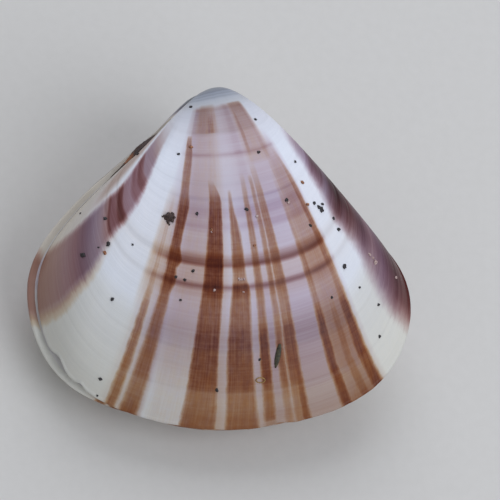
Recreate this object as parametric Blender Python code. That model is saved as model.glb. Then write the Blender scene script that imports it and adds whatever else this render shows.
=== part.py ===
"""Venus clam shell: two closed valves and the brown ligament that joins them, at real size.

Each valve is a growth spiral. The outline of its edge shrinks and turns about an axis through the
beak, ring after ring, and the rings are lofted into the outer face. The inside is a second loft of
smaller rings that closes in a dome, so that each valve is one thick-walled bowl.

The shell's own axes have the beak at the origin, X towards the front end, Y towards the hinge and
Z out of the right valve. Lengths on those axes are millimetres, and the meshes are in metres.
The finished shell lies on its left valve, with +Z up and the origin under the middle of its box.
"""
import math

import bmesh
import bpy
import numpy as np
from mathutils import Matrix, Vector

MM = 0.001
COLLECTION_NAME = "venus_clam_shell"

# Edge of a valve, from the beak down the front side, round the belly and back up the hind side.
EDGE_POINTS = [
    (-2.3, -1.3), (1.1, -3.9), (17.0, -15.3), (21.0, -22.2), (18.4, -30.5), (11.8, -34.9),
    (2.1, -36.8), (-8.1, -35.7), (-17.5, -30.3), (-20.1, -23.4), (-19.1, -17.3), (-4.7, -2.8),
]
KNOT_POWER = 0.75       # knots lie this power of a chord apart, which keeps the short corner round

# Growth spiral.
SHRINK_TURN = 0.72      # turn in radians over which a ring shrinks to 1/e
WHORL_TURN = 2.6        # turn in radians from the edge to the tip of the beak
AXIS_TWIST = 0.19       # angle in radians of the spiral's axis from the shell's X axis
SWELL_HIND = 4.4        # how much the flanks swell outwards, behind, in front and at the belly
SWELL_FRONT = 0.9
SWELL_BELLY = 1.4
SWELL_DEPTH = 1.3       # height over which that swelling builds up

# Inside of a valve.
DOME_CENTRE = (0.0, -22.0)
DOME_START = 0.86       # size of the inner edge beside the outer one
DOME_TURN = 0.85        # turn in radians at which the inside closes
DOME_ROUNDNESS = 2.2
DOME_HEIGHT = 0.93      # height of the inside beside the outside at the same turn
DOME_EASE = 0.25

# How the valves meet, and the ligament between them behind the beaks.
HALF_GAP = 0.15
LEFT_VALVE_SHIFT = -1.05        # the left valve lies a little towards the hind end
SLOT_SPAN = (0.882, 0.998)      # stretch of the edge, as a fraction of its length
SLOT_EASE = 0.026
SLOT_LIFT = 0.95
SLOT_FADE = 2.4
LIGAMENT_SPAN = (0.908, 0.980)
LIGAMENT_HALF_WIDTH = 0.62
LIGAMENT_HALF_DEPTH = 1.15
LIGAMENT_INSET = 0.3
LIGAMENT_BLUNTNESS = 2.4
LIGAMENT_END_STEP = 0.35        # the end rings lie this part of a step in from the tips

# Resting attitude, on a small flat worn on the left valve's belly.
REST_TILT = math.radians(12.0)      # hinge side up
REST_LEAN = math.radians(-3.0)      # front end down
FLAT_DEPTH = 0.2

# Resolution.
COLUMNS = 60
OUTER_RINGS = 26
OUTER_CROWDING = 1.6    # rings crowd towards the edge, where the flank turns over
INNER_RINGS = 13
INNER_CROWDING = 1.4
LIGAMENT_TRACE = 960    # samples of the edge that the ligament's middle line is read from
LIGAMENT_RINGS = 19
LIGAMENT_SIDES = 12


def closed_spline(points, count, power):
    """Smooth closed curve through the points, as evenly timed samples and their fractions."""
    p = np.array(points, dtype=float)
    n = len(p)
    following = np.roll(p, -1, axis=0)
    step = np.linalg.norm(following - p, axis=1) ** power
    before = np.roll(step, 1)
    system = np.zeros((n, n))
    for i in range(n):
        system[i, i - 1] += before[i]
        system[i, i] += 2.0 * (before[i] + step[i])
        system[i, (i + 1) % n] += step[i]
    slope = (following - p) / step[:, None]
    bend = np.linalg.solve(system, 6.0 * (slope - np.roll(slope, 1, axis=0)))
    knots = np.concatenate([[0.0], np.cumsum(step)])
    fractions = np.arange(count) / count
    time = fractions * knots[-1]
    k = np.clip(np.searchsorted(knots, time, side="right") - 1, 0, n - 1)
    h = step[k][:, None]
    after = (time - knots[k])[:, None]
    ahead = h - after
    next_bend = np.roll(bend, -1, axis=0)
    curve = (bend[k] * ahead ** 3 + next_bend[k] * after ** 3) / (6.0 * h)
    curve += (p[k] / h - bend[k] * h / 6.0) * ahead
    curve += (following[k] / h - next_bend[k] * h / 6.0) * after
    return curve, fractions


def outward_normals(curve):
    """In-plane normals of a closed curve that runs clockwise."""
    along = np.roll(curve, -1, axis=0) - np.roll(curve, 1, axis=0)
    along /= np.linalg.norm(along, axis=1)[:, None]
    return np.column_stack([-along[:, 1], along[:, 0]])


def smooth_step(x):
    x = np.clip(x, 0.0, 1.0)
    return x * x * (3.0 - 2.0 * x)


EDGE, FRACTIONS = closed_spline(EDGE_POINTS, COLUMNS, KNOT_POWER)
SIDEWAYS = outward_normals(EDGE)[:, 0]
SWELL = (
    SWELL_BELLY
    + (SWELL_FRONT - SWELL_BELLY) * np.clip(SIDEWAYS, 0.0, 1.0) ** 2
    + (SWELL_HIND - SWELL_BELLY) * np.clip(-SIDEWAYS, 0.0, 1.0) ** 2
)
SLOT = (
    SLOT_LIFT
    * smooth_step((FRACTIONS - SLOT_SPAN[0]) / SLOT_EASE)
    * smooth_step((SLOT_SPAN[1] - FRACTIONS) / SLOT_EASE)
)


def growth_ring(turn, size=1.0, height=1.0):
    """The edge after a turn of the spiral, drawn in to a size about the dome's centre."""
    centre = np.array(DOME_CENTRE)
    flat = centre + (EDGE - centre) * size
    shrink = math.exp(-turn / SHRINK_TURN)
    axis = Vector((-math.cos(AXIS_TWIST), -math.sin(AXIS_TWIST), 0.0))
    spin = np.array(Matrix.Rotation(turn, 3, axis))
    ring = shrink * np.column_stack([flat, np.zeros(len(flat))]) @ spin.T
    z = np.maximum(ring[:, 2], 0.0)
    z = z + SWELL * shrink * (1.0 - np.exp(-z / (shrink * SWELL_DEPTH)))
    z = z * height
    ring[:, 2] = z + SLOT * shrink * np.exp(-z / (shrink * SLOT_FADE)) + HALF_GAP
    return ring


def valve_rings():
    """Rings from the tip of the beak to the edge, and on over the rim into the dome."""
    spacing = np.linspace(1.0, 0.0, OUTER_RINGS) ** OUTER_CROWDING
    rings = [growth_ring(turn) for turn in WHORL_TURN * spacing]
    for i in range(INNER_RINGS):
        along = (i / INNER_RINGS) ** INNER_CROWDING
        size = DOME_START * math.sqrt(1.0 - along ** DOME_ROUNDNESS)
        height = 1.0 + (DOME_HEIGHT - 1.0) * smooth_step(along / DOME_EASE)
        rings.append(growth_ring(along * DOME_TURN, size, height))
    return rings


def loft(name, rings):
    """One closed mesh through the rings, with a point at each end, facing outwards."""
    bm = bmesh.new()
    first = bm.verts.new(Vector(np.mean(rings[0], axis=0) * MM))
    last = bm.verts.new(Vector(np.mean(rings[-1], axis=0) * MM))
    rows = [[bm.verts.new(Vector(point * MM)) for point in ring] for ring in rings]
    count = len(rows[0])
    for j in range(count):
        following = (j + 1) % count
        bm.faces.new((first, rows[0][j], rows[0][following]))
        bm.faces.new((last, rows[-1][following], rows[-1][j]))
        for upper, lower in zip(rows[:-1], rows[1:]):
            bm.faces.new((upper[j], lower[j], lower[following], upper[following]))
    bmesh.ops.triangulate(bm, faces=bm.faces[:])
    bmesh.ops.recalc_face_normals(bm, faces=bm.faces[:])
    mesh = bpy.data.meshes.new(name)
    bm.to_mesh(mesh)
    bm.free()
    mesh.shade_smooth()
    mesh.set_sharp_from_angle(angle=math.radians(40.0))
    return mesh


def shell_material(name, colour, roughness):
    material = bpy.data.materials.new(name)
    material.use_nodes = True
    shader = material.node_tree.nodes["Principled BSDF"]
    shader.inputs["Base Color"].default_value = (*colour, 1.0)
    shader.inputs["Roughness"].default_value = roughness
    shader.inputs["Metallic"].default_value = 0.0
    return material


def add_piece(mesh, material, collection):
    piece = bpy.data.objects.new(mesh.name, mesh)
    mesh.materials.append(material)
    collection.objects.link(piece)
    return piece


def make_right_valve(collection):
    mesh = loft("right_valve", valve_rings())
    return add_piece(mesh, shell_material("right_valve", (0.60, 0.49, 0.46), 0.3), collection)


def make_left_valve(collection, down):
    """The mirror image, slid towards the hind end, with the flat that the shell lies on."""
    mirrored = [ring * (1.0, 1.0, -1.0) + (LEFT_VALVE_SHIFT, 0.0, 0.0) for ring in valve_rings()]
    mesh = loft("left_valve", mirrored)
    lowest = max(vertex.co.dot(down) for vertex in mesh.vertices)
    level = lowest - FLAT_DEPTH * MM
    bm = bmesh.new()
    bm.from_mesh(mesh)
    geometry = bm.verts[:] + bm.edges[:] + bm.faces[:]
    cut = bmesh.ops.bisect_plane(
        bm, geom=geometry, dist=1e-7, plane_co=down * level, plane_no=down, clear_outer=True
    )
    outline = [item for item in cut["geom_cut"] if isinstance(item, bmesh.types.BMEdge)]
    bmesh.ops.contextual_create(bm, geom=outline)
    bmesh.ops.triangulate(bm, faces=bm.faces[:])
    bmesh.ops.recalc_face_normals(bm, faces=bm.faces[:])
    bm.to_mesh(mesh)
    bm.free()
    return add_piece(mesh, shell_material("left_valve", (0.58, 0.48, 0.46), 0.3), collection)


def make_ligament(collection):
    """A blunt spindle that runs along the edge behind the beaks, half sunk between the valves."""
    fine_edge, fractions = closed_spline(EDGE_POINTS, LIGAMENT_TRACE, KNOT_POWER)
    normals = outward_normals(fine_edge)
    rings = []
    for i in range(LIGAMENT_RINGS):
        along = (i + LIGAMENT_END_STEP) / (LIGAMENT_RINGS - 1 + 2.0 * LIGAMENT_END_STEP)
        place = LIGAMENT_SPAN[0] + (LIGAMENT_SPAN[1] - LIGAMENT_SPAN[0]) * along
        k = int(np.argmin(np.abs(fractions - place)))
        size = (1.0 - abs(2.0 * along - 1.0) ** LIGAMENT_BLUNTNESS) ** 0.5
        outward = np.array([normals[k][0], normals[k][1], 0.0])
        centre = np.array([fine_edge[k][0] + LEFT_VALVE_SHIFT / 2.0, fine_edge[k][1], 0.0])
        centre = centre - outward * LIGAMENT_INSET
        ring = []
        for side in range(LIGAMENT_SIDES):
            angle = 2.0 * math.pi * side / LIGAMENT_SIDES
            depth = LIGAMENT_HALF_DEPTH * size * math.cos(angle)
            width = LIGAMENT_HALF_WIDTH * size * math.sin(angle)
            ring.append(centre + outward * depth + np.array([0.0, 0.0, width]))
        rings.append(np.array(ring))
    mesh = loft("ligament", rings)
    return add_piece(mesh, shell_material("ligament", (0.085, 0.04, 0.025), 0.55), collection)


def lay_down(pieces, spin):
    """Parent the pieces to an empty that turns them and puts the box's bottom centre at 0, 0, 0."""
    points = np.array([spin @ v.co for piece in pieces for v in piece.data.vertices])
    low = points.min(axis=0)
    high = points.max(axis=0)
    rest = bpy.data.objects.new("shell_at_rest", None)
    bpy.data.collections[COLLECTION_NAME].objects.link(rest)
    rest.rotation_euler = spin.to_euler()
    rest.location = (-(low[0] + high[0]) / 2.0, -(low[1] + high[1]) / 2.0, -low[2])
    for piece in pieces:
        piece.parent = rest


def main():
    for old in list(bpy.data.objects):
        bpy.data.objects.remove(old, do_unlink=True)
    collection = bpy.data.collections.new(COLLECTION_NAME)
    bpy.context.scene.collection.children.link(collection)
    spin = Matrix.Rotation(REST_TILT, 3, "X") @ Matrix.Rotation(REST_LEAN, 3, "Y")
    down = spin.inverted() @ Vector((0.0, 0.0, -1.0))
    pieces = [make_right_valve(collection), make_left_valve(collection, down), make_ligament(collection)]
    lay_down(pieces, spin)
    bpy.context.view_layer.update()


main()
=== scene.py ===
"""Looks of the venus clam shell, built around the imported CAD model.

Both valves follow the same growth spiral as the CAD part, on a finer grid with a rounded lip, growth
lines and small chips. Every point of a valve has two growth coordinates. The first, called across,
runs from 0 to 1 round the edge: front side, belly, hind side. The second, called growth, is 1 at the
edge and falls to 0 at the beak. The rays and bands of colour are drawn on those two.

Lengths on the shell's own axes are millimetres: beak at the origin, X to the front end, Y to the
hinge, Z out of the right valve. The meshes are in metres, in the frame of the CAD model.
"""

import math

import bmesh
import bpy
import numpy as np
from mathutils import Matrix, Vector, noise
from mathutils.bvhtree import BVHTree


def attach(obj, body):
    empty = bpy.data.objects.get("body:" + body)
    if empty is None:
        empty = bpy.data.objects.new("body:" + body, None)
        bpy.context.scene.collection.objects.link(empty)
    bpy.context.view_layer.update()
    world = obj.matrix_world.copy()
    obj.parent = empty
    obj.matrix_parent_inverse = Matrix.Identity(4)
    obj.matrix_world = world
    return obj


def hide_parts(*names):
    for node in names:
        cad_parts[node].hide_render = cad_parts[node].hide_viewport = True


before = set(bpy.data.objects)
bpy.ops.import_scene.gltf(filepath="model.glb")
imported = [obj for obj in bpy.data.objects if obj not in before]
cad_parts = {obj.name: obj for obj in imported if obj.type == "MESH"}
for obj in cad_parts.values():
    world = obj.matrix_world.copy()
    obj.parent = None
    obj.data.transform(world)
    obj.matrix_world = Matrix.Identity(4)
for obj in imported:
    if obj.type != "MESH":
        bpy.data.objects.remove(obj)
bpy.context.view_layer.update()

scene = bpy.context.scene
MM = 0.001

# Growth spiral, as in the CAD part. The edge's points and the spiral's values come from a fit to the
# photograph.
EDGE_POINTS = [
    (-2.3, -1.3), (1.1, -3.9), (17.0, -15.3), (21.0, -22.2), (18.4, -30.5), (11.8, -34.9),
    (2.1, -36.8), (-8.1, -35.7), (-17.5, -30.3), (-20.1, -23.4), (-19.1, -17.3), (-4.7, -2.8),
]
KNOT_POWER = 0.75
SHRINK_TURN = 0.72
WHORL_TURN = 2.6
AXIS_TWIST = 0.19
SWELL_HIND = 4.4
SWELL_FRONT = 0.9
SWELL_BELLY = 1.4
SWELL_DEPTH = 1.3
DOME_CENTRE = (0.0, -22.0)
DOME_START = 0.86
DOME_TURN = 0.85
DOME_ROUNDNESS = 2.2
DOME_HEIGHT = 0.93
DOME_EASE = 0.25
LEFT_VALVE_SHIFT = -1.05
LEFT_VALVE_SEEN = (-1.02, 0.08, 0.0)    # where the photo shows the left valve against the right one
SLOT_SPAN = (0.886, 0.980)
SLOT_EASE = 0.026
SLOT_LIFT = 0.95
SLOT_FADE = 2.4
LIGAMENT_HALF_WIDTH = 0.62
LIGAMENT_HALF_DEPTH = 1.15
LIGAMENT_INSET = 0.3
LIGAMENT_BLUNTNESS = 2.4
REST_TILT = math.radians(12.0)
REST_LEAN = math.radians(-3.0)
BEAK_PLACE = Vector((0.1035, 17.3073, 12.7458))    # the shell's own origin in the frame, in mm

# Finer shape of this script
SEAM_HALF_GAP = 0.07    # half of the dark line between the valves
COLUMNS = 360
OUTER_RINGS = 165
OUTER_CROWDING = 1.15
LAST_RING = 0.993    # growth of the last ring before the rounded lip
LIP_RADIUS = 0.32
LIP_FULL_REACH = 12.0    # distance from the spiral's axis at which the lip has its full radius
LIP_LEAST = 0.05    # share of the lip's radius that is left at the beak
LIP_STEPS = 5
RIM_STEPS = 5
INNER_RINGS = 34
INNER_CROWDING = 1.2

# Camera, as fitted to the photograph: angles in radians, pixels of the 500 x 500 frame
FRAME_PIXELS = 500.0
VIEW_PITCH = -0.212
VIEW_YAW = 0.175
VIEW_ROLL = 0.045
VIEW_PIVOT = Vector((0.0, -19.0, 0.0))
PIVOT_PIXEL = (219.075, 269.162)
PIXELS_PER_MM = 9.166
CAMERA_DISTANCE = 400.0
SENSOR_WIDTH = 36.0

SPIN = Matrix.Rotation(REST_TILT, 3, "X") @ Matrix.Rotation(REST_LEAN, 3, "Y")
VIEW_TURN = (
    Matrix.Rotation(VIEW_ROLL, 3, "Z")
    @ Matrix.Rotation(VIEW_PITCH, 3, "X")
    @ Matrix.Rotation(VIEW_YAW, 3, "Y")
)
VIEW_BACK = VIEW_TURN.transposed()
FOCAL_PIXELS = PIXELS_PER_MM * CAMERA_DISTANCE


def to_frame(points):
    """Points in mm on the shell's own axes, as metres in the frame of the CAD model."""
    return (np.asarray(points) @ np.array(SPIN).T + np.array(BEAK_PLACE)) * MM


# Shape of a valve

def closed_spline(points, count, power):
    """Smooth closed curve through the points, as evenly timed samples and their fractions."""
    p = np.array(points, dtype=float)
    n = len(p)
    following = np.roll(p, -1, axis=0)
    step = np.linalg.norm(following - p, axis=1) ** power
    before = np.roll(step, 1)
    system = np.zeros((n, n))
    for i in range(n):
        system[i, i - 1] += before[i]
        system[i, i] += 2.0 * (before[i] + step[i])
        system[i, (i + 1) % n] += step[i]
    slope = (following - p) / step[:, None]
    bend = np.linalg.solve(system, 6.0 * (slope - np.roll(slope, 1, axis=0)))
    knots = np.concatenate([[0.0], np.cumsum(step)])
    fractions = np.arange(count) / count
    time = fractions * knots[-1]
    k = np.clip(np.searchsorted(knots, time, side="right") - 1, 0, n - 1)
    h = step[k][:, None]
    after = (time - knots[k])[:, None]
    ahead = h - after
    next_bend = np.roll(bend, -1, axis=0)
    curve = (bend[k] * ahead ** 3 + next_bend[k] * after ** 3) / (6.0 * h)
    curve += (p[k] / h - bend[k] * h / 6.0) * ahead
    curve += (following[k] / h - next_bend[k] * h / 6.0) * after
    return curve, fractions


def outward_normals(curve):
    """In-plane normals of a closed curve that runs clockwise."""
    along = np.roll(curve, -1, axis=0) - np.roll(curve, 1, axis=0)
    along /= np.linalg.norm(along, axis=1)[:, None]
    return np.column_stack([-along[:, 1], along[:, 0]])


def smooth_step(x):
    x = np.clip(x, 0.0, 1.0)
    return x * x * (3.0 - 2.0 * x)


def bump_at(x, place, width):
    """1 at the place, falling smoothly to 0 over about the width on either side."""
    return np.exp(-((x - place) / width) ** 2)


EDGE, ACROSS = closed_spline(EDGE_POINTS, COLUMNS, KNOT_POWER)
EDGE_NORMALS = outward_normals(EDGE)
SWELL = (
    SWELL_BELLY
    + (SWELL_FRONT - SWELL_BELLY) * np.clip(EDGE_NORMALS[:, 0], 0.0, 1.0) ** 2
    + (SWELL_HIND - SWELL_BELLY) * np.clip(-EDGE_NORMALS[:, 0], 0.0, 1.0) ** 2
)
SLOT = (
    SLOT_LIFT
    * smooth_step((ACROSS - SLOT_SPAN[0]) / SLOT_EASE)
    * smooth_step((SLOT_SPAN[1] - ACROSS) / SLOT_EASE)
)
AXIS_REACH = np.abs(EDGE[:, 0] * math.sin(AXIS_TWIST) - EDGE[:, 1] * math.cos(AXIS_TWIST))


def spiral_points(growth, size=1.0, height=1.0):
    """The edge at a growth, one value for each column, drawn in to a size about the dome's centre."""
    growth = np.broadcast_to(np.asarray(growth, dtype=float), ACROSS.shape)
    turn = -SHRINK_TURN * np.log(growth)
    centre = np.array(DOME_CENTRE)
    flat = (centre + (EDGE - centre) * size) * growth[:, None]
    axis = np.array([-math.cos(AXIS_TWIST), -math.sin(AXIS_TWIST)])
    along = flat @ axis
    beside = flat - along[:, None] * axis
    level = beside * np.cos(turn)[:, None] + along[:, None] * axis
    z = (axis[0] * flat[:, 1] - axis[1] * flat[:, 0]) * np.sin(turn)
    z = np.maximum(z, 0.0)
    z = z + SWELL * growth * (1.0 - np.exp(-z / (growth * SWELL_DEPTH)))
    z = z * height
    z = z + SLOT * growth * np.exp(-z / (growth * SLOT_FADE)) + SEAM_HALF_GAP
    return np.column_stack([level, z])


# Growth lines as (growth, half width, depth in mm), and chips out of the edge as
# (across, half width, depth as a loss of growth).
GROWTH_LINES = [
    (0.965, 0.004, 0.012), (0.932, 0.005, 0.014), (0.905, 0.004, 0.022), (0.872, 0.004, 0.01),
    (0.846, 0.003, 0.012), (0.806, 0.005, 0.02), (0.79, 0.003, 0.02), (0.747, 0.003, 0.012),
    (0.7, 0.004, 0.01), (0.652, 0.006, 0.045), (0.588, 0.007, 0.055), (0.545, 0.004, 0.01),
    (0.5, 0.005, 0.02), (0.465, 0.004, 0.02), (0.437, 0.004, 0.022), (0.4, 0.004, 0.015),
    (0.36, 0.003, 0.01), (0.325, 0.004, 0.02), (0.262, 0.004, 0.022), (0.222, 0.003, 0.01),
    (0.185, 0.004, 0.022), (0.16, 0.003, 0.012), (0.138, 0.003, 0.012), (0.118, 0.003, 0.012),
]
RIGHT_CHIPS = [
    (0.6985, 0.0105, 0.0105), (0.6665, 0.0045, 0.007), (0.473, 0.01, 0.006), (0.91, 0.011, 0.03),
]
LEFT_CHIPS = [(0.7, 0.05, 0.008), (0.602, 0.045, 0.018), (0.35, 0.004, 0.007)]
CHIP_REACH = 0.05    # how far up the valve a chip pulls the rings, as growth
WAVER = 0.0011    # small unevenness of the edge, as growth
WAVER_WAVES = [(9, 0.4, 0.45), (23, 1.3, 0.3), (47, 2.1, 0.25), (83, 0.2, 0.2)]


def edge_loss(chips, phase):
    """Growth that is missing at the edge, in each column: chips and a slight waver."""
    loss = np.zeros(COLUMNS)
    for count, start, share in WAVER_WAVES:
        loss += WAVER * share * (1.0 + np.sin(math.tau * count * ACROSS + start + phase))
    for place, width, depth in chips:
        loss += depth * bump_at(ACROSS, place, width)
    return loss


def valve_grid(chips, phase):
    """Rings from the beak to the lip and on into the dome, their growth, and where the outside ends."""
    loss = edge_loss(chips, phase)
    tip = math.exp(-WHORL_TURN / SHRINK_TURN)
    share = np.linspace(0.0, 1.0, OUTER_RINGS) ** (1.0 / OUTER_CROWDING)
    growths = tip + (LAST_RING - tip) * share
    outer = []
    for nominal in growths:
        pull = loss * smooth_step((nominal - (1.0 - CHIP_REACH)) / CHIP_REACH)
        outer.append(spiral_points(nominal - pull))
    outer = np.array(outer)
    ringwise = np.roll(outer, -1, axis=1) - np.roll(outer, 1, axis=1)
    lengthwise = np.gradient(outer, axis=0)
    normals = np.cross(lengthwise, ringwise)
    normals /= np.linalg.norm(normals, axis=2)[:, :, None] + 1e-12
    normals *= np.sign(normals[len(growths) // 2, COLUMNS // 2, 2])    # up at the belly
    relief = np.zeros(len(growths))
    for place, width, depth in GROWTH_LINES:
        relief -= depth * bump_at(growths, place, width)
    outer = outer + normals * relief[:, None, None]

    rim = spiral_points(1.0 - loss)
    radius = LIP_RADIUS * np.clip(AXIS_REACH / LIP_FULL_REACH, LIP_LEAST, 1.0)
    rings = list(outer)
    levels = list(growths)
    for i in range(LIP_STEPS + 1):
        angle = 0.5 * math.pi * i / LIP_STEPS
        ring = rim.copy()
        ring[:, :2] -= EDGE_NORMALS * (radius * (1.0 - math.cos(angle)))[:, None]
        ring[:, 2] += radius * (1.0 - math.sin(angle))
        rings.append(ring)
        levels.append(1.0)
    outside = len(rings)
    lip_end = rings[-1].copy()
    inner_edge = spiral_points(1.0, DOME_START)
    for i in range(1, RIM_STEPS):
        share = i / RIM_STEPS
        rings.append(lip_end * (1.0 - share) + inner_edge * share)
        levels.append(1.0 - share * (1.0 - DOME_START))
    for i in range(INNER_RINGS):
        along = (i / INNER_RINGS) ** INNER_CROWDING
        size = DOME_START * math.sqrt(1.0 - along ** DOME_ROUNDNESS)
        height = 1.0 + (DOME_HEIGHT - 1.0) * smooth_step(along / DOME_EASE)
        rings.append(spiral_points(math.exp(-along * DOME_TURN / SHRINK_TURN), size, height))
        levels.append(size)
    return np.array(rings), np.array(levels), outside


def grid_mesh(name, rings, levels, outside, flipped):
    """A closed mesh through the rings, with a point at each end. Slot 0 is outside, slot 1 inside."""
    ring_count, count, _ = rings.shape
    points = [*rings.reshape(-1, 3), rings[0].mean(axis=0), rings[-1].mean(axis=0)]
    last = ring_count - 1

    def corner(i, j):
        return i * count + j % count, (j / count, levels[i])

    faces = []
    for i in range(last):
        for j in range(count):
            faces.append((corner(i, j), corner(i + 1, j), corner(i + 1, j + 1), corner(i, j + 1)))
    inside = [i >= outside for i in range(last) for _ in range(count)]
    for j in range(count):
        near = j / count
        faces.append(((len(points) - 2, (near, levels[0])), corner(0, j), corner(0, j + 1)))
        faces.append(((len(points) - 1, (near, levels[-1])), corner(last, j + 1), corner(last, j)))
        inside += [False, True]
    if flipped:
        faces = [face[::-1] for face in faces]
    mesh = bpy.data.meshes.new(name)
    mesh.from_pydata([tuple(point) for point in points], [], [[vert for vert, _ in face] for face in faces])
    layer = mesh.uv_layers.new(name="growth_map")
    layer.data.foreach_set("uv", np.array([place for face in faces for _, place in face]).ravel())
    mesh.polygons.foreach_set("material_index", np.array(inside, dtype=np.int32))
    mesh.shade_smooth()
    mesh.update()
    return mesh


def add_object(mesh, *materials):
    piece = bpy.data.objects.new(mesh.name, mesh)
    scene.collection.objects.link(piece)
    for material in materials:
        mesh.materials.append(material)
    return piece


# Materials

class Paint:
    """Adds nodes to one material and joins them."""

    def __init__(self, name):
        self.material = bpy.data.materials.new(name)
        self.material.use_nodes = True
        self.tree = self.material.node_tree
        self.shader = self.tree.nodes["Principled BSDF"]

    def put(self, socket, value):
        if isinstance(value, bpy.types.NodeSocket):
            self.tree.links.new(value, socket)
        else:
            socket.default_value = value

    def add(self, kind, inputs, **settings):
        node = self.tree.nodes.new(kind)
        for key, value in settings.items():
            setattr(node, key, value)
        for key, value in inputs.items():
            self.put(node.inputs[key], value)
        return node

    def math(self, operation, a, b=0.0, c=0.0):
        return self.add("ShaderNodeMath", {0: a, 1: b, 2: c}, operation=operation).outputs[0]

    def vector(self, operation, a, b=(0.0, 0.0, 0.0), c=(0.0, 0.0, 0.0)):
        return self.add("ShaderNodeVectorMath", {0: a, 1: b, 2: c}, operation=operation).outputs[0]

    def fit(self, value, gain, start):
        return self.math("MULTIPLY_ADD", value, gain, start)

    def product(self, *factors):
        result = factors[0]
        for factor in factors[1:]:
            result = self.math("MULTIPLY", result, factor)
        return result

    def varied(self, value, noise, change):
        """The value times a noise that is brought to a range by a change (gain, what noise 0 leaves)."""
        return self.math("MULTIPLY", value, self.fit(noise, *change))

    def centred(self, noise):
        return self.math("SUBTRACT", noise, 0.5)

    def step(self, value, start, end):
        """0 where the value is at the start, 1 where it is at the end, smooth between."""
        inputs = {"Value": value, "From Min": start, "From Max": end}
        return self.add("ShaderNodeMapRange", inputs, interpolation_type="SMOOTHSTEP").outputs[0]

    def keyed(self, value, keys):
        """A number read from keys (place, number), with a smooth curve between them."""
        top = max(number for _, number in keys)
        node = self.add("ShaderNodeFloatCurve", {"Value": value})
        curve = node.mapping.curves[0]
        while len(curve.points) < len(keys):
            curve.points.new(0.5, 0.5)
        for point, (place, number) in zip(curve.points, sorted(keys)):
            point.location = (place, number / top)
            point.handle_type = "AUTO_CLAMPED"
        node.mapping.extend = "HORIZONTAL"
        node.mapping.update()
        return self.math("MULTIPLY", node.outputs[0], top)

    def ramp(self, value, stops):
        """A colour read from stops (place, red, green, blue)."""
        node = self.add("ShaderNodeValToRGB", {"Fac": value})
        ramp = node.color_ramp
        stops = sorted(stops)
        while len(ramp.elements) < len(stops):
            ramp.elements.new(0.5)
        for element, (place, *colour) in zip(ramp.elements, stops):
            element.position = place
            element.color = (*colour, 1.0)
        return node.outputs["Color"]

    def mix(self, share, a, b):
        node = self.add("ShaderNodeMix", {}, data_type="RGBA")
        self.put(node.inputs[0], share)
        self.put(node.inputs[6], a)
        self.put(node.inputs[7], b)
        return node.outputs[2]

    def noise(self, place, scale=1.0, detail=2.0, roughness=0.5):
        inputs = {"Vector": place, "Scale": scale, "Detail": detail, "Roughness": roughness}
        return self.add("ShaderNodeTexNoise", inputs).outputs[0]

    def place(self, across, growth, level=0.0):
        return self.add("ShaderNodeCombineXYZ", {0: across, 1: growth, 2: level}).outputs[0]

    def tones(self, value, stops):
        """A colour read from stops (place, sRGB colour from 0 to 255)."""
        return self.ramp(value, [(place, *linear(colour)) for place, colour in stops])

    def growth_map(self):
        return self.add("ShaderNodeUVMap", {}, uv_map="growth_map").outputs[0]

    def object_place(self):
        return self.add("ShaderNodeTexCoord", {}).outputs["Object"]

    def show(self, inputs):
        for name, value in inputs.items():
            self.put(self.shader.inputs[name], value)

    def relief(self, height, strength, distance):
        inputs = {"Height": height, "Strength": strength, "Distance": distance}
        self.show({"Normal": self.add("ShaderNodeBump", inputs).outputs[0]})


def linear(colour):
    """An sRGB colour from 0 to 255 as linear light."""
    parts = [c / 255.0 for c in colour]
    return tuple(c / 12.92 if c <= 0.04045 else ((c + 0.055) / 1.055) ** 2.4 for c in parts)


# Three pigments darken the white shell. Each has what a full layer absorbs of red, green and blue,
# as the exponent of e. The amounts in the lists below were set after measured comparisons of
# renders with the photograph.
RUST = (0.95, 2.0, 3.2)
PLUM = (1.1, 1.75, 1.45)
LAVENDER = (0.9, 1.0, 0.7)

# White of the shell by growth, as light that it gives back: blue-grey beak, cold middle, cream edge.
WHITE = [
    (0.05, 0.18, 0.2, 0.21), (0.1, 0.21, 0.23, 0.28), (0.12, 0.29, 0.32, 0.39),
    (0.14, 0.41, 0.44, 0.51), (0.165, 0.5, 0.515, 0.55), (0.195, 0.6, 0.61, 0.67),
    (0.26, 0.69, 0.7, 0.76), (0.35, 0.76, 0.79, 0.86), (0.5, 0.78, 0.8, 0.86),
    (0.72, 0.74, 0.77, 0.82), (0.77, 0.68, 0.69, 0.68), (0.85, 0.66, 0.665, 0.64),
    (0.92, 0.69, 0.69, 0.64), (1.0, 0.7, 0.7, 0.64),
]
# How the valve dims at its growth lines, where it is white, as (start, line, end, what is left).
WHITE_LINES = [
    (0.105, 0.11, 0.115, 0.72), (0.122, 0.128, 0.134, 0.72), (0.134, 0.141, 0.15, 0.76),
    (0.25, 0.262, 0.27, 0.95), (0.39, 0.4, 0.408, 0.96), (0.43, 0.437, 0.445, 0.95),
    (0.575, 0.59, 0.6, 0.89), (0.64, 0.652, 0.662, 0.93), (0.8, 0.806, 0.812, 0.94),
    (0.84, 0.846, 0.852, 0.97), (0.9, 0.906, 0.912, 0.95),
]
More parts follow.
